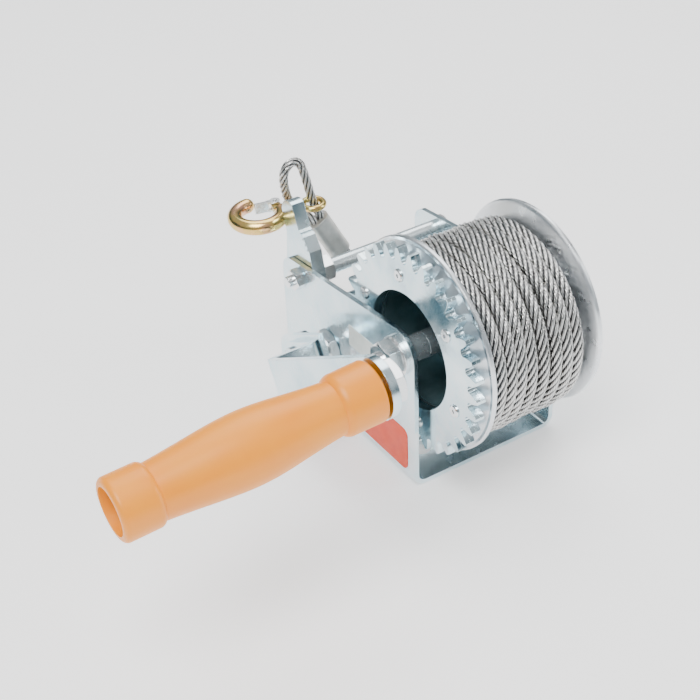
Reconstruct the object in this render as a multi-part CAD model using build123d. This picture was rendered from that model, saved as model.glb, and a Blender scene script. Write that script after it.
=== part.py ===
from build123d import *
from math import acos, cos, pi, radians, sin, tan
import os

# Boat trailer winch: hand cranked drum winch with a geared drum, a joggled crank and a wire rope.
#
# Frame: X runs along the drum axis, from the crank side (-X) to the plain side (+X).
# +Y is the rear, where the crank shaft and the tie bolt sit, and +Z is up.
# The origin is the centre of the base plate's underside, the face that bolts to the winch post.

# --- driving dimensions, millimetres ---------------------------------------------------------------
# frame: one folded steel channel
SHEET = 2.5
INSIDE_W = 81.0
FRAME_L = 118.0
FRONT_H = 88.0
REAR_H = 75.3
BEND_R = 4.0
FRONT_CORNER_R = 14.0
REAR_CORNER_R = 9.0
BASE_HOLE_D = 10.5
BASE_HOLE_DX = 50.0
BASE_HOLE_DY = 76.0

# axes, as (Y, Z)
DRUM = (-46.0, 72.5)
TIE = (41.0, 70.0)

# gears
MODULE = 3.0
GEAR_TEETH = 33
PINION_TEETH = 12
PRESSURE = radians(20)
TOOTH_THICKNESS = 4.25
GEAR_PHASE = 3.4
MESH_ANGLE = -26.5
GEAR_PLATE_T = 2.5
GEAR_X0 = -36.9
PINION_X0 = -39.8
PINION_X1 = -32.7

# drum
BARREL_R = 33.0
BARREL_WALL = 2.4
GEAR_BORE_R = 29.9
NEAR_FLANGE_R = 53.7
FAR_FLANGE_R = 51.5
FLANGE_T = 1.8
FAR_FLANGE_X = 31.0
RIVET_CIRCLE_R = 38.5
RIVET_D = 5.0
RIVET_PHASE = 19.5
HUB_R = 6.5
PACK_R = 52.0

# crank
SHAFT_R = 6.0
ARM_T = 4.0
ARM_ANGLE = 29.2
CRANK_R = 128.0
ARM_ROOT_HALF_W = 10.0
ARM_HEAD_R = 14.0
ARM_WEB_U = 27.0
HUB_PLATE_T = 3.0
HUB_PLATE_HALF_W = 12.6
HUB_PLATE_U0 = -22.0
HUB_PLATE_U1 = 26.5
ARM_IN_X = -64.5
ARM_OUT_X = -89.5
GRIP_L = 119.5
GRIP_GAP = 1.0
GRIP_TILT = 2.3
PIN_R = 6.0

# rope, eye and hook
ROPE_R = 2.4
FERRULE_W = 12.6
FERRULE_T = 8.4
ROPE_PLANE_Y = 67.0
HOOK_R = 3.9
HOOK_BOW_R = 12.2
HOOK_BOW_A = 29.5
HOOK_TURN = 165.0
HOOK_TILT = 1.5
HOOK_MOUTH = 105.0
EYE_R = 5.4
EYE_STOCK_R = 1.75
LATCH_PIVOT = (18.5, -7.0)

# --- derived places --------------------------------------------------------------------------------
OUT_X = INSIDE_W / 2 + SHEET
IN_X = INSIDE_W / 2
CENTRE_DISTANCE = MODULE * (GEAR_TEETH + PINION_TEETH) / 2
CRANK = (
    DRUM[0] + CENTRE_DISTANCE * cos(radians(MESH_ANGLE)),
    DRUM[1] + CENTRE_DISTANCE * sin(radians(MESH_ANGLE)),
)
ARM_U = (-cos(radians(ARM_ANGLE)), sin(radians(ARM_ANGLE)))
ARM_N = (sin(radians(ARM_ANGLE)), cos(radians(ARM_ANGLE)))
GRIP = (CRANK[0] + CRANK_R * ARM_U[0], CRANK[1] + CRANK_R * ARM_U[1])
GRIP_X0 = ARM_OUT_X - GRIP_GAP
GRIP_X1 = GRIP_X0 - GRIP_L
BARREL_X0 = GEAR_X0 + 2 * GEAR_PLATE_T + FLANGE_T

parts = {}


# --- shape helpers: everything turned or stamped across X -------------------------------------------
def across(face, x0, x1):
    """Extrude a (Y, Z) face from x0 to x1."""
    return extrude(Plane.YZ.offset(x0) * face, amount=x1 - x0)


def disc(radius, x0, x1, centre):
    return across(Pos(*centre) * Circle(radius), x0, x1)


def ring(outer, inner, x0, x1, centre):
    return across(Pos(*centre) * (Circle(outer) - Circle(inner)), x0, x1)


def hexagon(flats, x0, x1, centre, turn=0.0):
    corner = flats / (2 * cos(pi / 6))
    return across(Pos(*centre) * Rot(0, 0, turn) * RegularPolygon(corner, 6), x0, x1)


def hex_nut(flats, bore, x0, x1, centre, turn=0.0):
    """A hexagon with chamfered corners and a plain bore."""
    corner = flats / (2 * cos(pi / 6))
    face_r = flats * 0.47
    chamfer = corner * 0.12
    barrel = lathe(
        [
            (x0, 0),
            (x0, face_r),
            (x0 + chamfer, corner),
            (x1 - chamfer, corner),
            (x1, face_r),
            (x1, 0),
        ],
        centre,
    )
    nut = hexagon(flats, x0, x1, centre, turn) & barrel
    return nut - disc(bore, x0 - 1, x1 + 1, centre) if bore else nut


def lathe(profile, centre):
    """Revolve a closed (X, radius) outline about the X line through centre."""
    plane = Plane(origin=(0, *centre), x_dir=(1, 0, 0), z_dir=(0, -1, 0))
    face = make_face(Polyline(*profile, close=True))
    return revolve(plane * face, Axis((0, *centre), (1, 0, 0)), 360)


def bolt_shank(radius, x0, x1, centre):
    """A shank whose two ends are chamfered."""
    c = radius * 0.15
    return lathe(
        [
            (x0, 0),
            (x0, radius - c),
            (x0 + c, radius),
            (x1 - c, radius),
            (x1, radius - c),
            (x1, 0),
        ],
        centre,
    )


# --- frame -----------------------------------------------------------------------------------------
def side_outline():
    """The side plates' shape in (Y, Z): rounded top corners, the front one higher."""
    y = FRAME_L / 2
    face = make_face(Polyline((-y, 0), (y, 0), (y, REAR_H), (-y, FRONT_H), close=True))
    front = face.vertices().sort_by(Axis.Y)[-1]
    face = fillet(front, FRONT_CORNER_R)
    rear = face.vertices().sort_by(Axis.X)[-2:].sort_by(Axis.Y)[-1]
    return fillet(rear, REAR_CORNER_R)


def frame_channel():
    tall = FRONT_H + 12
    outer = Pos(0, tall / 2) * Rectangle(INSIDE_W + 2 * SHEET, tall)
    outer = fillet(outer.vertices().group_by(Axis.Y)[0], BEND_R + SHEET)
    inner = Pos(0, SHEET + tall / 2) * Rectangle(INSIDE_W, tall)
    inner = fillet(inner.vertices().group_by(Axis.Y)[0], BEND_R)
    channel = extrude(Plane.XZ.offset(-FRAME_L / 2) * (outer - inner), amount=FRAME_L)
    channel &= across(side_outline(), -OUT_X - 1, OUT_X + 1)
    channel -= disc(5.0, -OUT_X - 1, OUT_X + 1, DRUM)
    channel -= disc(3.0, -OUT_X - 1, OUT_X + 1, TIE)
    channel -= disc(8.0, -OUT_X - 1, OUT_X + 1, CRANK)
    for x in (-BASE_HOLE_DX / 2, BASE_HOLE_DX / 2):
        for y in (-BASE_HOLE_DY / 2, BASE_HOLE_DY / 2):
            channel -= Pos(x, y, SHEET / 2) * Cylinder(BASE_HOLE_D / 2, SHEET * 3)
    return channel


def label(y0, y1, z0, z1, corner_r, thickness):
    face = Pos((y0 + y1) / 2, (z0 + z1) / 2) * RectangleRounded(y1 - y0, z1 - z0, corner_r)
    return across(face, -OUT_X - thickness, -OUT_X)


parts["frame_channel"] = frame_channel()
parts["warning_label"] = label(-53.0, -2.0, 6.5, 31.0, 4.0, 0.25)
parts["rating_sticker"] = label(-30.5, -3.5, 54.0, 66.0, 0.6, 0.2)

# --- drum axle, clamped between the side plates -----------------------------------------------------
parts["axle_bolt"] = bolt_shank(5.0, -OUT_X - 12.5, OUT_X + 2.0, DRUM) + hex_nut(
    16.0, 0, OUT_X + 2.0, OUT_X + 8.4, DRUM
)
parts["axle_washers"] = Compound(
    children=[ring(10.0, 5.0, -OUT_X - 2.0, -OUT_X, DRUM), ring(10.0, 5.0, OUT_X, OUT_X + 2.0, DRUM)]
)
parts["axle_nut"] = hex_nut(17.0, 5.0, -OUT_X - 10.2, -OUT_X - 2.0, DRUM, 12)
parts["axle_sleeve"] = ring(5.5, 5.0, -IN_X, IN_X, DRUM)
parts["axle_spacers"] = Compound(
    children=[ring(HUB_R, 5.5, -IN_X, -29.0, DRUM), ring(HUB_R, 5.5, 33.6, IN_X, DRUM)]
)

# --- tie bolt that carries the pawl ------------------------------------------------------------------
parts["tie_bolt"] = bolt_shank(3.0, -OUT_X - 8.5, OUT_X, TIE) + hex_nut(10.0, 0, OUT_X, OUT_X + 4.2, TIE)
parts["tie_nut"] = hex_nut(10.0, 3.0, -OUT_X - 5.2, -OUT_X, TIE, 8)
parts["tie_spacer"] = ring(4.2, 3.0, -IN_X, IN_X, TIE)
parts["tie_collar"] = hex_nut(13.0, 4.2, -32.6, -25.6, TIE, 20) - ring(5.6, 4.0, -33.6, -27.4, TIE)


def pawl_spring():
    """Closed coil torsion spring round the tie spacer, inside the cupped collar."""
    wire = 0.8
    turns = 5
    helix = Helix(pitch=wire + 0.12, height=(wire + 0.12) * turns, radius=4.88)
    coil = sweep(Plane(origin=helix @ 0, z_dir=helix % 0) * Circle(wire / 2), path=helix)
    return Pos(-32.4, *TIE) * Rot(0, 90, 0) * coil


parts["pawl_spring"] = pawl_spring()


# --- gears --------------------------------------------------------------------------------------------
def gear_outline(teeth, tip_r, root_r, phase, centre):
    """Closed spur gear outline: involute flanks, arc tips and rounded gaps."""
    pitch_r = MODULE * teeth / 2
    base_r = pitch_r * cos(PRESSURE)
    flank_r0 = max(root_r + 1.0, base_r + 0.02)

    def involute(r):
        a = acos(min(1.0, base_r / r))
        return tan(a) - a

    def half_angle(r):
        return TOOTH_THICKNESS / (2 * pitch_r) + involute(pitch_r) - involute(r)

    def point(r, angle):
        return (centre[0] + r * cos(angle), centre[1] + r * sin(angle))

    steps = [flank_r0 + (tip_r - flank_r0) * k / 3 for k in range(4)]
    pitch = 2 * pi / teeth
    edges = []
    for k in range(teeth):
        mid = radians(phase) + k * pitch
        rising = [point(r, mid - half_angle(r)) for r in steps]
        falling = [point(r, mid + half_angle(r)) for r in reversed(steps)]
        following = point(flank_r0, mid + pitch - half_angle(flank_r0))
        edges.append(Spline(*rising))
        edges.append(ThreePointArc(rising[-1], point(tip_r, mid), falling[0]))
        edges.append(Spline(*falling))
        edges.append(ThreePointArc(falling[-1], point(root_r, mid + pitch / 2), following))
    return make_face(edges)


gear_face = gear_outline(
    GEAR_TEETH,
    MODULE * (GEAR_TEETH / 2 + 1),
    MODULE * (GEAR_TEETH / 2 - 1.25),
    MESH_ANGLE + 180 / GEAR_TEETH + GEAR_PHASE,
    DRUM,
)
gear_face -= Pos(*DRUM) * Circle(GEAR_BORE_R)
rivet_places = [
    (
        DRUM[0] + RIVET_CIRCLE_R * cos(radians(RIVET_PHASE + 60 * k)),
        DRUM[1] + RIVET_CIRCLE_R * sin(radians(RIVET_PHASE + 60 * k)),
    )
    for k in range(6)
]
for place in rivet_places:
    gear_face -= Pos(*place) * Circle(RIVET_D / 2)

GEAR_MID_X = GEAR_X0 + GEAR_PLATE_T
GEAR_X1 = GEAR_MID_X + GEAR_PLATE_T
parts["gear_plate_outer"] = across(gear_face, GEAR_X0, GEAR_MID_X)
parts["gear_plate_inner"] = across(gear_face, GEAR_MID_X, GEAR_X1)

# --- drum -------------------------------------------------------------------------------------------
near_flange = lathe(
    [
        (GEAR_X1, BARREL_R - BARREL_WALL),
        (GEAR_X1, 45.5),
        (-28.6, NEAR_FLANGE_R - 2.0),
        (-28.6, NEAR_FLANGE_R - 0.6),
        (-28.0, NEAR_FLANGE_R),
        (-26.6, NEAR_FLANGE_R),
        (-26.0, NEAR_FLANGE_R - 0.6),
        (-26.0, NEAR_FLANGE_R - 2.2),
        (GEAR_X1 + FLANGE_T, 46.0),
        (GEAR_X1 + FLANGE_T, BARREL_R - BARREL_WALL),
    ],
    DRUM,
)
for place in rivet_places:
    near_flange -= disc(RIVET_D / 2, GEAR_X1 - 1, GEAR_X1 + FLANGE_T + 1, place)
parts["near_flange"] = near_flange

parts["far_flange"] = lathe(
    [
        (FAR_FLANGE_X, HUB_R),
        (FAR_FLANGE_X, 39.0),
        (34.2, FAR_FLANGE_R - 1.6),
        (34.6, FAR_FLANGE_R - 0.6),
        (35.2, FAR_FLANGE_R),
        (36.6, FAR_FLANGE_R),
        (37.2, FAR_FLANGE_R - 0.6),
        (36.8, FAR_FLANGE_R - 2.0),
        (FAR_FLANGE_X + FLANGE_T + 0.4, 38.6),
        (FAR_FLANGE_X + FLANGE_T, 38.0),
        (FAR_FLANGE_X + FLANGE_T, HUB_R),
    ],
    DRUM,
)
parts["drum_barrel"] = ring(BARREL_R, BARREL_R - BARREL_WALL, BARREL_X0, FAR_FLANGE_X, DRUM)
parts["drum_web"] = ring(BARREL_R - BARREL_WALL, HUB_R, -7.0, -4.6, DRUM)
parts["hub_tube"] = ring(HUB_R, 5.56, -28.8, 33.4, DRUM)


def rivet(place):
    head = lathe(
        [
            (GEAR_X0 - 1.0, 0.9),
            (GEAR_X0 - 1.0, 2.6),
            (GEAR_X0 - 0.5, 3.2),
            (GEAR_X0, 3.2),
            (GEAR_X0, RIVET_D / 2),
            (BARREL_X0, RIVET_D / 2),
            (BARREL_X0, 3.4),
            (BARREL_X0 + 0.8, 2.8),
            (BARREL_X0 + 0.8, 0),
            (GEAR_X0 + 0.6, 0),
            (GEAR_X0 + 0.6, 0.9),
        ],
        place,
    )
    return head


parts["gear_rivets"] = Compound(children=[rivet(place) for place in rivet_places])
parts["wound_rope"] = ring(PACK_R, BARREL_R, -26.6, FAR_FLANGE_X - 0.2, DRUM) - ring(
    PACK_R + 1, 45.9, -31, -25.7, DRUM
)
CLAMP_X0 = FAR_FLANGE_X + FLANGE_T
CLAMP_X1 = CLAMP_X0 + 2.4
CLAMP_Z = DRUM[1] + 22
parts["rope_clamp"] = across(Pos(DRUM[0], CLAMP_Z) * RectangleRounded(16, 8, 2), CLAMP_X0, CLAMP_X1)
parts["clamp_screws"] = Compound(
    children=[disc(2.6, CLAMP_X1, CLAMP_X1 + 1.8, (DRUM[0] + side, CLAMP_Z)) for side in (-5, 5)]
)

# --- crank shaft and pinion --------------------------------------------------------------------------
parts["crank_shaft"] = bolt_shank(SHAFT_R - 0.06, ARM_IN_X - 1.0, OUT_X + 6.0, CRANK) + disc(
    7.4, ARM_IN_X - 1.6, ARM_IN_X, CRANK
)
pinion_face = gear_outline(
    PINION_TEETH,
    MODULE * (PINION_TEETH / 2 + 1),
    MODULE * (PINION_TEETH / 2 - 1.25),
    MESH_ANGLE + 180 - GEAR_PHASE * GEAR_TEETH / PINION_TEETH,
    CRANK,
)
pinion_face -= Pos(*CRANK) * Circle(SHAFT_R - 0.06)
parts["pinion_gear"] = across(pinion_face, PINION_X0, PINION_X1)
parts["pinion_spacer"] = ring(7.5, SHAFT_R - 0.06, PINION_X1, IN_X - 0.7, CRANK)
parts["near_bush"] = hex_nut(18.0, SHAFT_R, -OUT_X - 5.5, -OUT_X, CRANK, 10) + ring(
    8.0, SHAFT_R, -OUT_X, -IN_X, CRANK
)
parts["far_bush"] = ring(10.5, SHAFT_R, OUT_X, OUT_X + 2.2, CRANK) + ring(8.0, SHAFT_R, IN_X, OUT_X, CRANK)
parts["shaft_clip"] = ring(9.0, SHAFT_R - 0.06, OUT_X + 2.6, OUT_X + 4.0, CRANK)
HUB_PLATE_X = ARM_IN_X + ARM_T + HUB_PLATE_T
parts["crank_collar"] = ring(13.0, SHAFT_R - 0.06, HUB_PLATE_X, HUB_PLATE_X + 2.6, CRANK) + ring(
    9.0, SHAFT_R - 0.06, HUB_PLATE_X + 2.6, -OUT_X - 5.8, CRANK
)


def tilted(shape):
    """The grip and its pin droop a little outboard, about the arm's head."""
    pivot = Pos(ARM_OUT_X, *GRIP)
    return pivot * Rot(0, -GRIP_TILT, 0) * pivot.inverse() * shape


# --- crank arm: one flat bar with a square joggle ---------------------------------------------------
def arm_point(u, n):
    """A (Y, Z) point, u along the arm from the shaft and n to its upper side."""
    return (CRANK[0] + u * ARM_U[0] + n * ARM_N[0], CRANK[1] + u * ARM_U[1] + n * ARM_N[1])


def arm_outline(u0, u1, half0, half1):
    return make_face(
        Polyline(
            arm_point(u0, half0),
            arm_point(u1, half1),
            arm_point(u1, -half1),
            arm_point(u0, -half0),
            close=True,
        )
    )


def crank_arm():
    """The bar seen from above is a Z: inner leg, web, outer leg, with rounded outside corners."""
    profile = make_face(
        Polyline(
            (-14.0, ARM_IN_X),
            (ARM_WEB_U - ARM_T, ARM_IN_X),
            (ARM_WEB_U - ARM_T, ARM_OUT_X),
            (CRANK_R + 20, ARM_OUT_X),
            (CRANK_R + 20, ARM_OUT_X + ARM_T),
            (ARM_WEB_U, ARM_OUT_X + ARM_T),
            (ARM_WEB_U, ARM_IN_X + ARM_T),
            (-14.0, ARM_IN_X + ARM_T),
            close=True,
        )
    )
    corners = profile.vertices()
    outside = [
        v for v in corners
        if (abs(v.X - ARM_WEB_U) < 0.1 and abs(v.Y - ARM_IN_X - ARM_T) < 0.1)
        or (abs(v.X - ARM_WEB_U + ARM_T) < 0.1 and abs(v.Y - ARM_OUT_X) < 0.1)
    ]
    profile = fillet(outside, ARM_T + 0.8)
    inside = [
        v for v in profile.vertices()
        if (abs(v.X - ARM_WEB_U) < 0.1 and abs(v.Y - ARM_OUT_X - ARM_T) < 0.1)
        or (abs(v.X - ARM_WEB_U + ARM_T) < 0.1 and abs(v.Y - ARM_IN_X) < 0.1)
    ]
    profile = fillet(inside, 1.4)
    # local x runs along the arm and local y along +X of the winch
    plane = Plane(origin=(0, *arm_point(0, -30)), x_dir=(0, *ARM_U), z_dir=(0, -ARM_N[0], -ARM_N[1]))
    if plane.y_dir.X < 0:
        plane = Plane(origin=(0, *arm_point(0, 30)), x_dir=(0, *ARM_U), z_dir=(0, *ARM_N))
    bar = extrude(plane * profile, amount=-60)
    neck = ARM_WEB_U + 6
    outline = Pos(*CRANK) * Circle(ARM_ROOT_HALF_W)
    outline += arm_outline(0, neck, ARM_ROOT_HALF_W, ARM_ROOT_HALF_W)
    outline += arm_outline(neck, CRANK_R, ARM_ROOT_HALF_W, ARM_HEAD_R)
    outline += Pos(*GRIP) * Circle(ARM_HEAD_R)
    bar &= across(outline, ARM_OUT_X - 5, ARM_IN_X + 10)
    bar -= disc(SHAFT_R - 0.06, ARM_IN_X - 2, ARM_IN_X + 6, CRANK)
    return bar - tilted(disc(PIN_R, ARM_OUT_X - 4, ARM_OUT_X + 8, GRIP))


def hub_plate():
    """Stiffening plate behind the arm's inner leg: square in front, rounded at the back."""
    tail = HUB_PLATE_U0 + HUB_PLATE_HALF_W
    outline = arm_outline(tail, HUB_PLATE_U1, HUB_PLATE_HALF_W, HUB_PLATE_HALF_W)
    outline += Pos(*arm_point(tail, 0)) * Circle(HUB_PLATE_HALF_W)
    outline -= Pos(*CRANK) * Circle(SHAFT_R - 0.06)
    return across(outline, ARM_IN_X + ARM_T, HUB_PLATE_X)


parts["crank_arm"] = crank_arm()
parts["crank_hub_plate"] = hub_plate()

# --- grip on its pin ---------------------------------------------------------------------------------
PIN_HEAD_X = GRIP_X1 + 4.5
pin_shank = bolt_shank(PIN_R, PIN_HEAD_X + 5.0, ARM_OUT_X + ARM_T + 8.5, GRIP)
parts["grip_pin"] = tilted(pin_shank + hex_nut(15.0, 0, PIN_HEAD_X, PIN_HEAD_X + 5.0, GRIP))
parts["grip_pin_nut"] = hex_nut(19.0, 0, ARM_OUT_X + ARM_T, ARM_OUT_X + ARM_T + 6.5, GRIP, 17) - tilted(
    disc(PIN_R, ARM_OUT_X, ARM_OUT_X + ARM_T + 12, GRIP)
)
parts["grip_pin_washer"] = tilted(ring(9.5, PIN_R, PIN_HEAD_X + 5.0, PIN_HEAD_X + 6.2, GRIP))


def grip():
    """Moulded grip: inner collar, waist, swelling barrel, waist and end collar."""
    x = GRIP_X0

    def at(s, r):
        return (x - s, r)

    bore = PIN_R + 0.06
    outline = [
        Line(at(0, bore), at(0, 12.2)),
        ThreePointArc(at(0, 12.2), at(0.5, 13.4), at(1.8, 13.9)),
        Line(at(1.8, 13.9), at(15.5, 13.8)),
        ThreePointArc(at(15.5, 13.8), at(18.0, 13.2), at(19.4, 11.9)),
        Spline(at(19.4, 11.9), at(35, 13.5), at(58, 15.7), at(80, 14.3), at(101.5, 12.2)),
        ThreePointArc(at(101.5, 12.2), at(102.6, 13.3), at(104.5, 13.8)),
        Line(at(104.5, 13.8), at(GRIP_L - 2.5, 13.8)),
        ThreePointArc(at(GRIP_L - 2.5, 13.8), at(GRIP_L - 0.7, 13.1), at(GRIP_L, 11.6)),
        Line(at(GRIP_L, 11.6), at(GRIP_L, 10.4)),
        Line(at(GRIP_L, 10.4), at(GRIP_L - 11.0, 10.4)),
        Line(at(GRIP_L - 11.0, 10.4), at(GRIP_L - 11.0, bore)),
        Line(at(GRIP_L - 11.0, bore), at(0, bore)),
    ]
    plane = Plane(origin=(0, *GRIP), x_dir=(1, 0, 0), z_dir=(0, -1, 0))
    return tilted(revolve(plane * make_face(outline), Axis((0, *GRIP), (1, 0, 0)), 360))


parts["grip"] = grip()

# --- pawl ---------------------------------------------------------------------------------------------
PAWL_X0 = -40.1
PAWL_X1 = -33.0


def pawl():
    """Thumb lever above the tie bolt and a short nose below it, close to the pinion teeth."""
    outline = make_face(
        [
            Line((59.3, 71.4), (57.6, 88.0)),
            Line((57.6, 88.0), (61.0, 99.5)),
            ThreePointArc((61.0, 99.5), (57.6, 106.2), (50.8, 106.6)),
            Line((50.8, 106.6), (45.4, 94.6)),
            Line((45.4, 94.6), (41.0, 92.4)),
            Line((41.0, 92.4), (35.8, 86.0)),
            Line((35.8, 86.0), (33.0, 74.0)),
            Line((33.0, 74.0), (31.8, 60.0)),
            Line((31.8, 60.0), (34.9, 50.6)),
            Line((34.9, 50.6), (39.5, 52.0)),
            Line((39.5, 52.0), (50.0, 62.0)),
            Line((50.0, 62.0), (59.3, 71.4)),
        ]
    )
    lever = across(outline, PAWL_X0, PAWL_X1)
    lever -= disc(4.3, PAWL_X0 - 1, PAWL_X1 + 1, TIE)
    for k in range(4):
        z = 93.6 - 2.3 * k
        y = 43.2 - 1.9 * k
        lever -= Pos((PAWL_X0 + PAWL_X1) / 2, y, z) * Rot(0, 90, 0) * Cylinder(0.55, 12)
    return lever


parts["pawl"] = pawl()

# --- rope end, eye, ferrule and hook -------------------------------------------------------------------
FERRULE_LOW = Vector(-3.2, ROPE_PLANE_Y, 58.9)
FERRULE_TOP = Vector(-16.0, ROPE_PLANE_Y, 82.6)
FERRULE_AXIS = (FERRULE_TOP - FERRULE_LOW).normalized()
FERRULE_SIDE = Vector(FERRULE_AXIS.Z, 0, -FERRULE_AXIS.X)
LOBE = FERRULE_SIDE * ROPE_R


def cord(points, radii):
    """A round cord of straight runs joined by tangent arcs."""
    route = FilletPolyline(*points, radius=radii)
    start = Plane(origin=route @ 0, z_dir=route % 0)
    return sweep(start * Circle(ROPE_R), path=route)


TAIL_END = FERRULE_LOW + LOBE
parts["rope_tail"] = cord(
    [
        (-4.0, 2.3, 43.9),
        (-2.0, 10.3, 60.0),
        (1.0, 26.0, 64.5),
        (8.0, 46.0, 40.0),
        tuple(TAIL_END - FERRULE_AXIS * 18.0),
        tuple(TAIL_END),
    ],
    [15.0, 13.0, 13.0, 14.0],
)

EYE_START = FERRULE_TOP + LOBE
EYE_END = FERRULE_TOP - LOBE
parts["rope_eye"] = cord(
    [
        tuple(EYE_START),
        tuple(EYE_START + FERRULE_AXIS * 8.4),
        (-22.0, ROPE_PLANE_Y, 110.5),
        (-25.0, ROPE_PLANE_Y, 119.9),
        (-31.6, ROPE_PLANE_Y, 120.3),
        (-35.6, ROPE_PLANE_Y, 113.5),
        (-26.7, ROPE_PLANE_Y + 10.5, 90.0),
        tuple(EYE_END + FERRULE_AXIS * 4.2),
        tuple(EYE_END),
    ],
    [20.0, 20.0, 4.6, 5.0, 9.0, 6.0, 5.0],
)


def ferrule():
    """Two-lobed aluminium sleeve, with the dead end's hole left open at the bottom."""
    plane = Plane(origin=FERRULE_LOW, x_dir=FERRULE_SIDE, z_dir=FERRULE_AXIS)
    length = (FERRULE_TOP - FERRULE_LOW).length
    body = extrude(plane * SlotOverall(FERRULE_W, FERRULE_T), amount=length)
    body -= extrude(plane * Pos(-ROPE_R, 0) * Circle(ROPE_R), amount=2.5)
    return body


parts["ferrule"] = ferrule()

hook_frame = Pos(-18.2, ROPE_PLANE_Y, 92.6) * Rot(0, 0, HOOK_TURN) * Rot(0, HOOK_TILT, 0)


def hook():
    """Eye, shank and bow lying in one plane, its mouth on the side away from the winch."""
    eye = Torus(EYE_R, EYE_STOCK_R)
    shank_x0 = EYE_R
    shank_x1 = HOOK_BOW_A - HOOK_BOW_R + 1.0
    shank = Pos((shank_x0 + shank_x1) / 2, 0, 0) * Rot(0, 90, 0) * Cone(
        EYE_STOCK_R + 0.5, HOOK_R, shank_x1 - shank_x0
    )
    arc = CenterArc((HOOK_BOW_A, 0), HOOK_BOW_R, 180, HOOK_MOUTH - 360)
    bow = sweep(Plane(origin=arc @ 0, z_dir=arc % 0) * Circle(HOOK_R), path=arc)
    angle = radians(HOOK_MOUTH - 180)
    tip = Pos(HOOK_BOW_A + HOOK_BOW_R * cos(angle), HOOK_BOW_R * sin(angle), 0) * Sphere(HOOK_R)
    lug = Pos(LATCH_PIVOT[0], LATCH_PIVOT[1], 0) * Cylinder(2.5, 3.0)
    lug += Pos(LATCH_PIVOT[0], LATCH_PIVOT[1] / 2, 0) * Box(5.0, -LATCH_PIVOT[1], 3.0)
    body = eye + shank + bow + tip + lug
    body -= Pos(LATCH_PIVOT[0], LATCH_PIVOT[1], 0) * Cylinder(1.0, 12)
    return hook_frame * body


def hook_latch():
    """Sheet latch: two cheeks beside the hook's lug and a bar that closes the mouth."""
    pivot = Pos(LATCH_PIVOT[0], LATCH_PIVOT[1], 0)
    cheeks = [pivot * Pos(0, 0, side * 2.35) * Cylinder(2.6, 1.0) for side in (-1, 1)]
    arms = [pivot * Pos(2.2, 0, side * 2.35) * Box(4.4, 2.6, 1.0) for side in (-1, 1)]
    bar = pivot * Pos(7.3, 0, 0) * Box(7.6, 1.4, 5.7)
    latch = cheeks[0] + cheeks[1] + arms[0] + arms[1] + bar
    latch -= pivot * Cylinder(1.06, 12)
    return hook_frame * latch


parts["hook"] = hook()
parts["hook_latch"] = hook_latch()
parts["hook_latch_pin"] = hook_frame * Pos(LATCH_PIVOT[0], LATCH_PIVOT[1], 0) * Cylinder(1.0, 7.0)

os.makedirs("parts", exist_ok=True)
for name, shape in parts.items():
    export_step(shape, f"parts/{name}.step")
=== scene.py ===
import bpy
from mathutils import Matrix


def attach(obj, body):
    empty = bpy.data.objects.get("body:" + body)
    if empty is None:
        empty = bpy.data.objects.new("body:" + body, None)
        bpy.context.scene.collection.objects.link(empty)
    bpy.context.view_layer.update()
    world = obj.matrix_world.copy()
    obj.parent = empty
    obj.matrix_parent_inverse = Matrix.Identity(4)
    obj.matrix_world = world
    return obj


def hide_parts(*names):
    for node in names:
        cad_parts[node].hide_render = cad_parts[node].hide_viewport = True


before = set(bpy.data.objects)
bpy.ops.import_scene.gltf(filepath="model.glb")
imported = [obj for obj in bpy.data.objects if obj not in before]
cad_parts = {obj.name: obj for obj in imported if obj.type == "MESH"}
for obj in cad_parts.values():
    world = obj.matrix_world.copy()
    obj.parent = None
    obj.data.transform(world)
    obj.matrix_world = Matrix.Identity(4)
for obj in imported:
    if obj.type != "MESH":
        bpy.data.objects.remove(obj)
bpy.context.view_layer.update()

import math

import bpy
from mathutils import Matrix, Vector

MM = 0.001
DRUM = (-46.0, 72.5)  # the drum axis as (Y, Z), millimetres


def mm(*values):
    return tuple(v * MM for v in values)


# --- camera ---------------------------------------------------------------------------------------
CAMERA_PLACE = (-338.2, -483.6, 454.8)
CAMERA_TURN = (-31.60, 35.66, -2.46)  # azimuth, elevation and roll in degrees


def add_camera():
    data = bpy.data.cameras.new("view")
    data.lens = 72.0
    data.sensor_width = 36.0
    data.clip_start = 0.01
    data.clip_end = 60.0
    camera = bpy.data.objects.new("view", data)
    bpy.context.scene.collection.objects.link(camera)
    azimuth, elevation, roll = (math.radians(v) for v in CAMERA_TURN)
    level = math.cos(elevation)
    back = Vector((math.sin(azimuth) * level, -math.cos(azimuth) * level, math.sin(elevation)))
    right = Vector((0, 0, 1)).cross(back).normalized()
    up = back.cross(right)
    right_rolled = math.cos(roll) * right + math.sin(roll) * up
    up_rolled = -math.sin(roll) * right + math.cos(roll) * up
    turn = Matrix((right_rolled, up_rolled, back)).transposed().to_4x4()
    camera.matrix_world = Matrix.Translation(mm(*CAMERA_PLACE)) @ turn
    bpy.context.scene.camera = camera


add_camera()


# --- mesh and node helpers ------------------------------------------------------------------------
def add_mesh(name, verts, faces, smooth=True):
    mesh = bpy.data.meshes.new(name)
    mesh.from_pydata([tuple(v) for v in verts], [], faces)
    mesh.polygons.foreach_set("use_smooth", [smooth] * len(mesh.polygons))
    mesh.update()
    obj = bpy.data.objects.new(name, mesh)
    bpy.context.scene.collection.objects.link(obj)
    return obj


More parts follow.
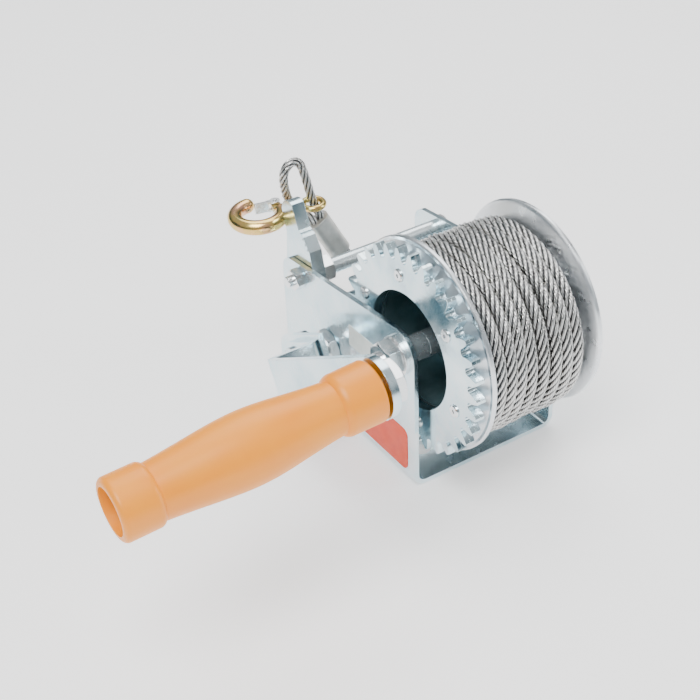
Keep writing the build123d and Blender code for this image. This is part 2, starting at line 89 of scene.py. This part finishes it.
class Nodes:
    """Short way to build a node material."""

    def __init__(self, name):
        self.material = bpy.data.materials.new(name)
        self.material.use_nodes = True
        self.tree = self.material.node_tree
        self.shader = self.tree.nodes["Principled BSDF"]
        self.where = self.tree.nodes.new("ShaderNodeTexCoord").outputs["Object"]

    def add(self, kind, **settings):
        node = self.tree.nodes.new(kind)
        for key, value in settings.items():
            setattr(node, key, value)
        return node

    def link(self, a, b):
        self.tree.links.new(a, b)

    def noise(self, scale, detail=4.0, stretch=None, source=None, rough=0.5):
        node = self.add("ShaderNodeTexNoise")
        node.inputs["Scale"].default_value = scale
        node.inputs["Detail"].default_value = detail
        node.inputs["Roughness"].default_value = rough
        start = source or self.where
        if stretch:
            mapping = self.add("ShaderNodeMapping")
            mapping.inputs["Scale"].default_value = stretch
            self.link(start, mapping.inputs["Vector"])
            start = mapping.outputs["Vector"]
        self.link(start, node.inputs["Vector"])
        return node.outputs["Fac"]

    def ramp(self, fac, stops):
        node = self.add("ShaderNodeValToRGB")
        ramp = node.color_ramp
        while len(ramp.elements) < len(stops):
            ramp.elements.new(0.5)
        for element, (place, colour) in zip(ramp.elements, stops):
            element.position = place
            element.color = (*colour, 1.0)
        self.link(fac, node.inputs["Fac"])
        return node.outputs["Color"]

    def spread(self, fac, low, high, start=0.3, stop=0.7):
        node = self.add("ShaderNodeMapRange")
        node.inputs["From Min"].default_value = start
        node.inputs["From Max"].default_value = stop
        node.inputs["To Min"].default_value = low
        node.inputs["To Max"].default_value = high
        self.link(fac, node.inputs["Value"])
        return node.outputs["Result"]

    def bump(self, height, strength, distance, under=None):
        node = self.add("ShaderNodeBump")
        node.inputs["Strength"].default_value = strength
        node.inputs["Distance"].default_value = distance
        self.link(height, node.inputs["Height"])
        if under:
            self.link(under, node.inputs["Normal"])
        return node.outputs["Normal"]

    def bevel(self, radius):
        node = self.add("ShaderNodeBevel", samples=4)
        node.inputs["Radius"].default_value = radius
        return node.outputs["Normal"]

    def math(self, operation, a, b=None, value=None):
        node = self.add("ShaderNodeMath", operation=operation)
        self.link(a, node.inputs[0])
        if b is not None:
            self.link(b, node.inputs[1])
        elif value is not None:
            node.inputs[1].default_value = value
        return node.outputs[0]

    def out(self, colour=None, rough=None, normal=None):
        if colour is not None:
            self.link(colour, self.shader.inputs["Base Color"])
        if rough is not None:
            self.link(rough, self.shader.inputs["Roughness"])
        if normal is not None:
            self.link(normal, self.shader.inputs["Normal"])
        return self.material


def plated(name, pale, mid, deep, rough=(0.2, 0.38), patch=26.0, metallic=1.0, edge=0.0004):
    """Zinc plated steel: cloudy tint patches, faint rolling lines and soft edges."""
    n = Nodes(name)
    n.shader.inputs["Metallic"].default_value = metallic
    cloud = n.noise(patch, 5.0, rough=0.6)
    colour = n.ramp(cloud, [(0.28, deep), (0.5, mid), (0.72, pale)])
    grain = n.noise(900.0, 3.0, stretch=(0.15, 1.0, 1.0))
    smudge = n.noise(120.0, 4.0)
    normal = n.bump(grain, 0.08, 0.0001, n.bevel(edge))
    normal = n.bump(smudge, 0.05, 0.0003, normal)
    return n.out(colour, n.spread(smudge, *rough), normal)


ZINC = plated(
    "zinc_plate",
    pale=(0.84, 0.91, 0.93),
    mid=(0.68, 0.81, 0.86),
    deep=(0.46, 0.63, 0.70),
    rough=(0.14, 0.30),
)
GEAR = plated(
    "gear_zinc",
    pale=(0.80, 0.89, 0.92),
    mid=(0.64, 0.78, 0.83),
    deep=(0.42, 0.56, 0.62),
    rough=(0.10, 0.24),
    patch=40.0,
)
BRIGHT = plated(
    "bright_zinc",
    pale=(0.92, 0.93, 0.93),
    mid=(0.84, 0.86, 0.87),
    deep=(0.70, 0.73, 0.75),
    rough=(0.14, 0.3),
    patch=60.0,
)
BARE = plated(
    "turned_steel",
    pale=(0.80, 0.86, 0.88),
    mid=(0.70, 0.78, 0.81),
    deep=(0.56, 0.64, 0.68),
    rough=(0.18, 0.34),
    patch=60.0,
    metallic=0.85,
)
# painted shade: the plated drum barrel and web get a near-black teal colour that stands in for the
# shade inside the drum
DRUM_PAINTED_SHADE = plated(
    "drum_inside_painted_shade",
    pale=(0.16, 0.25, 0.27),
    mid=(0.10, 0.18, 0.20),
    deep=(0.06, 0.12, 0.14),
    rough=(0.3, 0.45),
    patch=50.0,
    metallic=0.6,
)
FLANGE = plated(
    "flange_zinc",
    pale=(0.90, 0.92, 0.94),
    mid=(0.80, 0.83, 0.86),
    deep=(0.66, 0.70, 0.74),
    rough=(0.24, 0.4),
    patch=22.0,
)
YELLOW = plated(
    "yellow_chromate",
    pale=(0.80, 0.42, 0.30),
    mid=(0.72, 0.50, 0.16),
    deep=(0.42, 0.46, 0.20),
    rough=(0.14, 0.3),
    patch=90.0,
)


def grip_plastic():
    n = Nodes("grip_orange")
    n.shader.inputs["Subsurface Weight"].default_value = 0.05
    n.shader.inputs["Subsurface Radius"].default_value = (0.004, 0.0016, 0.0005)
    n.shader.inputs["Subsurface Scale"].default_value = 1.0
    n.shader.inputs["Coat Weight"].default_value = 0.05
    n.shader.inputs["Coat Roughness"].default_value = 0.3
    cloud = n.noise(40.0, 4.0)
    colour = n.ramp(cloud, [(0.3, (0.92, 0.28, 0.0)), (0.7, (0.95, 0.32, 0.001))])
    fine = n.noise(2600.0, 2.0)
    wave = n.noise(70.0, 3.0)
    normal = n.bump(fine, 0.12, 0.00012)
    normal = n.bump(wave, 0.05, 0.001, normal)
    return n.out(colour, n.spread(cloud, 0.36, 0.46), normal)


def film(name, low, high):
    n = Nodes(name)
    colour = n.ramp(n.noise(160.0, 4.0), [(0.3, low), (0.7, high)])
    normal = n.bump(n.noise(1500.0, 2.0), 0.08, 0.0001)
    return n.out(colour, n.spread(n.noise(90.0), 0.35, 0.5), normal)


def ferrule_metal():
    n = Nodes("pressed_aluminium")
    n.shader.inputs["Metallic"].default_value = 0.75
    colour = n.ramp(n.noise(140.0, 5.0), [(0.3, (0.50, 0.49, 0.46)), (0.7, (0.72, 0.71, 0.68))])
    rub = n.noise(300.0, 4.0, stretch=(1.0, 1.0, 0.25))
    return n.out(colour, n.spread(rub, 0.38, 0.55), n.bump(rub, 0.25, 0.0003, n.bevel(0.0006)))


LAY = 30 * MM


def rope_metal(name, wires):
    """Wire strands with painted shade in the grooves between the strands and in the seams between the
    fine wires that run along the rope.
    """
    n = Nodes(name)
    n.shader.inputs["Metallic"].default_value = 0.92
    uv = n.add("ShaderNodeUVMap", uv_map="UVMap").outputs["UV"]
    split = n.add("ShaderNodeSeparateXYZ")
    n.link(uv, split.inputs["Vector"])
    strand = n.math("COSINE", n.math("MULTIPLY", split.outputs["X"], value=math.tau))
    along = n.math("MULTIPLY", split.outputs["Y"], value=6 / LAY)
    around = n.math("ADD", split.outputs["X"], along)
    wire = n.math("SINE", n.math("MULTIPLY", around, value=math.tau * wires))
    # painted shade: the colour darkens towards the grooves between the strands
    strand_groove_shade = n.ramp(
        n.spread(strand, 0.0, 1.0, -1.0, 0.4),
        [(0.0, (0.04, 0.04, 0.045)), (0.35, (0.38, 0.38, 0.38)), (1.0, (0.88, 0.88, 0.87))],
    )
    # painted shade: dark seams between the fine wires
    lines = n.ramp(
        n.spread(wire, 0.0, 1.0, -1.0, 1.0),
        [(0.0, (0.55, 0.55, 0.55)), (0.6, (1.0, 1.0, 1.0))],
    )
    both = n.add("ShaderNodeMix", data_type="RGBA", blend_type="MULTIPLY")
    both.inputs["Factor"].default_value = 1.0
    n.link(strand_groove_shade, both.inputs["A"])
    n.link(lines, both.inputs["B"])
    grime = n.noise(220.0, 4.0)
    mix = n.add("ShaderNodeMix", data_type="RGBA", blend_type="MULTIPLY")
    mix.inputs["Factor"].default_value = 1.0
    n.link(both.outputs["Result"], mix.inputs["A"])
    n.link(n.ramp(grime, [(0.3, (0.72, 0.71, 0.69)), (0.65, (1.0, 1.0, 1.0))]), mix.inputs["B"])
    normal = n.bump(wire, 0.45, 0.00015)
    return n.out(mix.outputs["Result"], n.spread(grime, 0.22, 0.38), normal)


ROPE = rope_metal("rope_wires", 3)
ORANGE = grip_plastic()
RED = film("label_red_film", (0.76, 0.045, 0.003), (0.84, 0.065, 0.006))
WHITE = film("label_white_film", (0.70, 0.74, 0.70), (0.80, 0.83, 0.79))
ALUMINIUM = ferrule_metal()

FINISH = {
    "frame_channel": ZINC,
    "warning_label": RED,
    "rating_sticker": WHITE,
    "axle_bolt": BRIGHT,
    "axle_washers": BRIGHT,
    "axle_nut": BRIGHT,
    "axle_sleeve": BARE,
    "axle_spacers": BARE,
    "tie_bolt": BRIGHT,
    "tie_nut": BRIGHT,
    "tie_spacer": BARE,
    "tie_collar": BRIGHT,
    "pawl_spring": BARE,
    "gear_plate_outer": GEAR,
    "gear_plate_inner": GEAR,
    "near_flange": FLANGE,
    "far_flange": FLANGE,
    "drum_barrel": DRUM_PAINTED_SHADE,
    "drum_web": DRUM_PAINTED_SHADE,
    "hub_tube": BARE,
    "gear_rivets": BRIGHT,
    "rope_clamp": BRIGHT,
    "clamp_screws": BRIGHT,
    "crank_shaft": BARE,
    "pinion_gear": BARE,
    "pinion_spacer": BARE,
    "near_bush": BRIGHT,
    "far_bush": BRIGHT,
    "shaft_clip": BARE,
    "crank_collar": BRIGHT,
    "crank_arm": ZINC,
    "crank_hub_plate": ZINC,
    "grip_pin": BRIGHT,
    "grip_pin_nut": BRIGHT,
    "grip_pin_washer": BRIGHT,
    "grip": ORANGE,
    "pawl": ZINC,
    "ferrule": ALUMINIUM,
    "hook": YELLOW,
    "hook_latch": BRIGHT,
    "hook_latch_pin": BRIGHT,
}
for node, material in FINISH.items():
    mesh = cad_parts[node].data
    mesh.materials.clear()
    mesh.materials.append(material)


# --- rope -----------------------------------------------------------------------------------------
def smooth_line(name, points, scale=MM):
    """The points down a NURBS spline that has these control points."""
    data = bpy.data.curves.new(name, "CURVE")
    data.dimensions = "3D"
    data.resolution_u = 12
    spline = data.splines.new("NURBS")
    spline.points.add(len(points) - 1)
    for place, point in zip(spline.points, points):
        place.co = (*(scale * v for v in point), 1.0)
    spline.order_u = 3
    spline.use_endpoint_u = True
    holder = bpy.data.objects.new(name, data)
    mesh = bpy.data.meshes.new_from_object(holder)
    line = [v.co.copy() for v in mesh.vertices]
    bpy.data.objects.remove(holder)
    bpy.data.curves.remove(data)
    bpy.data.meshes.remove(mesh)
    return line


def even(line, step):
    """The same line with its points a step apart."""
    lengths = [0.0]
    for a, b in zip(line, line[1:]):
        lengths.append(lengths[-1] + (b - a).length)
    count = max(2, round(lengths[-1] / step))
    result = []
    i = 0
    for k in range(count + 1):
        at = lengths[-1] * k / count
        while i < len(line) - 2 and lengths[i + 1] < at:
            i += 1
        part = (at - lengths[i]) / max(lengths[i + 1] - lengths[i], 1e-12)
        result.append(line[i].lerp(line[i + 1], min(1.0, max(0.0, part))))
    return result


def strand_radius(angle, radius):
    """Outline of six round strands laid about a core."""
    off = (angle + math.pi / 6) % (math.pi / 3) - math.pi / 6
    middle = radius * 2 / 3
    inner = (radius / 3) ** 2 - (middle * math.sin(off)) ** 2
    return middle * math.cos(off) + math.sqrt(max(inner, 0.0))


def laid_rope(name, line, radius, lay, around=42):
    """A rope of six strands with a right-hand lay, as one closed tube."""
    verts, faces, uvs = [], [], []
    tangents = [(b - a).normalized() for a, b in zip(line, line[1:])]
    tangents.append(tangents[-1])
    side = tangents[0].orthogonal().normalized()
    travelled = 0.0
    for i, (point, tangent) in enumerate(zip(line, tangents)):
        if i:
            travelled += (point - line[i - 1]).length
            side = (side - tangent * side.dot(tangent)).normalized()
        across = tangent.cross(side)
        twist = math.tau * travelled / lay
        for k in range(around):
            angle = math.tau * k / around
            r = strand_radius(angle, radius)
            turned = angle + twist
            verts.append(point + r * (math.cos(turned) * side + math.sin(turned) * across))
            uvs.append((6 * k / around, travelled))
    rings = len(line)
    for i in range(rings - 1):
        for k in range(around):
            a, b = i * around + k, i * around + (k + 1) % around
            faces.append((a, b, b + around, a + around))
    faces.append(tuple(reversed(range(around))))
    faces.append(tuple((rings - 1) * around + k for k in range(around)))
    rope = add_mesh(name, verts, faces)
    layer = rope.data.uv_layers.new(name="UVMap")
    for face in rope.data.polygons:
        columns = [v % around for v in face.vertices]
        wraps = max(columns) - min(columns) > around / 2
        for loop in face.loop_indices:
            v = rope.data.loops[loop].vertex_index
            u = uvs[v][0] + (6 if wraps and v % around == 0 else 0)
            layer.data[loop].uv = (u, uvs[v][1])
    rope.data.materials.append(ROPE)
    return rope


ROPE_RADIUS = 2.4
ROPE_R = ROPE_RADIUS * MM
TAIL_START = (-4.0, 2.3, 43.9)
ferrule_low = Vector((-3.2, 67.0, 58.9))
ferrule_top = Vector((-16.0, 67.0, 82.6))
ferrule_axis = (ferrule_top - ferrule_low).normalized()
lobe = Vector((ferrule_axis.z, 0, -ferrule_axis.x)) * ROPE_RADIUS

tail_end = ferrule_low + lobe
tail_line = smooth_line(
    "tail_route",
    [
        TAIL_START,
        (-2.0, 10.3, 60.0),
        (1.0, 26.0, 64.5),
        (8.0, 46.0, 40.0),
        tuple(tail_end - ferrule_axis * 18.0),
        tuple(tail_end),
    ],
)
tail = laid_rope("rope_tail_laid", even(tail_line, 0.7 * MM), ROPE_R, LAY)

eye_start = ferrule_top + lobe
eye_end = ferrule_top - lobe
eye_line = smooth_line(
    "eye_route",
    [
        tuple(eye_start),
        tuple(eye_start + ferrule_axis * 8.4),
        (-22.0, 67.0, 110.5),
        (-25.0, 67.0, 119.9),
        (-31.6, 67.0, 120.3),
        (-35.6, 67.0, 113.5),
        (-26.7, 77.5, 90.0),
        tuple(eye_end + ferrule_axis * 4.2),
        tuple(eye_end),
    ],
)
eye = laid_rope("rope_eye_laid", even(eye_line, 0.6 * MM), ROPE_R, LAY)


for piece, node, line, start, end, on_it in (
    (tail, "rope_tail", tail_line, TAIL_START, "fitting", ["ferrule"]),
    (eye, "rope_eye", eye_line, tuple(eye_start), "object", ["hook", "hook_latch", "hook_latch_pin"]),
):
    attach(piece, "frame")
    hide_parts(node)


# --- wound rope -----------------------------------------------------------------------------------
WOUND_R = 3.0
PITCH = 6.3
STEPS_PER_TURN = 60
START_ANGLE = 0.7
LOW_ANGLE = 1.95  # turns the lowest point of the pack to the front
SAG = 4.4  # how much the outer layer's radius varies round a turn
BARREL_LAYER_R = 36.0
PACK_DEPTH = 9.6


def winding_line(radius, x0, turns, direction, loose):
    """A layer of turns that hangs low in front: neat near the gear, uneven beyond it."""
    points = []
    for k in range(int(turns * STEPS_PER_TURN) + 1):
        turn = k / STEPS_PER_TURN
        angle = direction * math.tau * turn + START_ANGLE
        share = min(1.0, turn / 3)
        x = x0 + PITCH * turn
        sag = 0.5 + 0.5 * math.cos(angle + LOW_ANGLE)
        r = radius + SAG * (sag - 0.5) * (radius - BARREL_LAYER_R) / PACK_DEPTH
        if loose:
            wander = 1.25 * math.sin(angle - 2.1 + 0.9 * turn) + 0.5 * math.sin(2 * angle + 1.7 * turn)
            x += share * wander
            x -= 0.9 * share * math.sin(0.9 * turn)
            r += 0.45 * share * math.sin(angle * 0.5 + 1.3 * turn)
        points.append(Vector(mm(x, DRUM[0] + r * math.cos(angle), DRUM[1] + r * math.sin(angle))))
    return points


layers = [
    (36.2, -23.6, 8.5, -1, False),
    (40.8, -20.4, 8.0, 1, False),
    (45.6, -22.8, 8.35, -1, True),
]
for number, (radius, x0, turns, direction, loose) in enumerate(layers):
    # the outer layer is the one that is seen, so it gets the finer mesh
    step = (1.0 if loose else 2.5) * MM
    around = 42 if loose else 18
    line = even(winding_line(radius, x0, turns, direction, loose), step)
    turns_piece = laid_rope(f"wound_layer_{number}", line, WOUND_R * MM, LAY, around)
    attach(turns_piece, "drum")
    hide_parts("wound_rope")


# --- studio ---------------------------------------------------------------------------------------
FLOOR_HALF = 6.0
FLOOR_DROP = 0.0002


def flat_sheet(name, w, h):
    """A rectangle in its own XY plane, from its half width and half height."""
    corners = [(-w, -h, 0), (w, -h, 0), (w, h, 0), (-w, h, 0)]
    return add_mesh(name, corners, [(0, 1, 2, 3)], smooth=False)


def aim(place, target):
    """The turn that points an object's -Z from place to target."""
    return (Vector(target) - Vector(place)).to_track_quat("-Z", "Y").to_euler()


def add_floor():
    floor = flat_sheet("floor", FLOOR_HALF, FLOOR_HALF)
    floor.location.z = -FLOOR_DROP
    n = Nodes("pale_floor")
    colour = n.ramp(n.noise(3.0), [(0.3, (0.90, 0.90, 0.90)), (0.7, (0.93, 0.93, 0.93))])
    n.shader.inputs["Specular IOR Level"].default_value = 0.1
    n.shader.inputs["Emission Color"].default_value = (1.0, 1.0, 1.0, 1.0)
    n.shader.inputs["Emission Strength"].default_value = 0.55
    floor.data.materials.append(n.out(colour, n.spread(n.noise(3.0), 0.75, 0.85)))


def add_light(name, place, target, size, power):
    data = bpy.data.lights.new(name, "AREA")
    data.shape = "RECTANGLE"
    data.size, data.size_y = size
    data.energy = power
    lamp = bpy.data.objects.new(name, data)
    bpy.context.scene.collection.objects.link(lamp)
    lamp.location = place
    lamp.rotation_euler = aim(place, target)


def add_card(name, place, target, size, shade):
    """A dark sheet outside the view, for the metal to reflect."""
    card = flat_sheet(name, size[0] / 2, size[1] / 2)
    card.location = place
    card.rotation_euler = aim(place, target)
    n = Nodes(name)
    colour = n.ramp(n.noise(2.0), [(0.3, shade), (0.7, tuple(1.2 * c for c in shade))])
    card.data.materials.append(n.out(colour, n.spread(n.noise(2.0), 0.8, 0.9)))


def add_world():
    """A room that is dark low down and bright overhead, seen mostly in the metal."""
    world = bpy.data.worlds.new("studio")
    bpy.context.scene.world = world
    world.use_nodes = True
    sky = world.node_tree
    backdrop = sky.nodes["Background"]
    backdrop.inputs["Strength"].default_value = 0.6
    direction = sky.nodes.new("ShaderNodeTexCoord")
    height = sky.nodes.new("ShaderNodeSeparateXYZ")
    shade = sky.nodes.new("ShaderNodeValToRGB")
    sky.links.new(direction.outputs["Generated"], height.inputs["Vector"])
    sky.links.new(height.outputs["Z"], shade.inputs["Fac"])
    sky.links.new(shade.outputs["Color"], backdrop.inputs["Color"])
    shade.color_ramp.elements.new(0.2)
    shade.color_ramp.elements.new(0.5)
    stops = [
        (0.0, (0.10, 0.17, 0.20)),
        (0.2, (0.16, 0.25, 0.29)),
        (0.5, (0.95, 0.98, 1.0)),
        (0.9, (1.1, 1.1, 1.1)),
    ]
    for stop, (place, colour) in zip(shade.color_ramp.elements, stops):
        stop.position = place
        stop.color = (*colour, 1.0)


add_floor()
centre = (0.0, -0.02, 0.06)
add_light("key", (-0.7, -0.5, 1.6), centre, (0.9, 0.9), 34.0)
add_light("top", (0.5, 0.7, 1.5), centre, (1.2, 1.2), 18.0)
add_light("side", (1.4, -0.9, 0.7), centre, (0.5, 1.2), 12.0)
add_card("card_left", (-1.5, 0.9, 0.45), centre, (0.9, 0.9), (0.02, 0.055, 0.07))
add_card("card_front", (-0.1, -1.6, 0.35), centre, (0.8, 0.6), (0.02, 0.05, 0.06))
add_card("card_right", (1.5, 0.1, 0.25), centre, (0.6, 0.5), (0.03, 0.05, 0.06))
add_world()
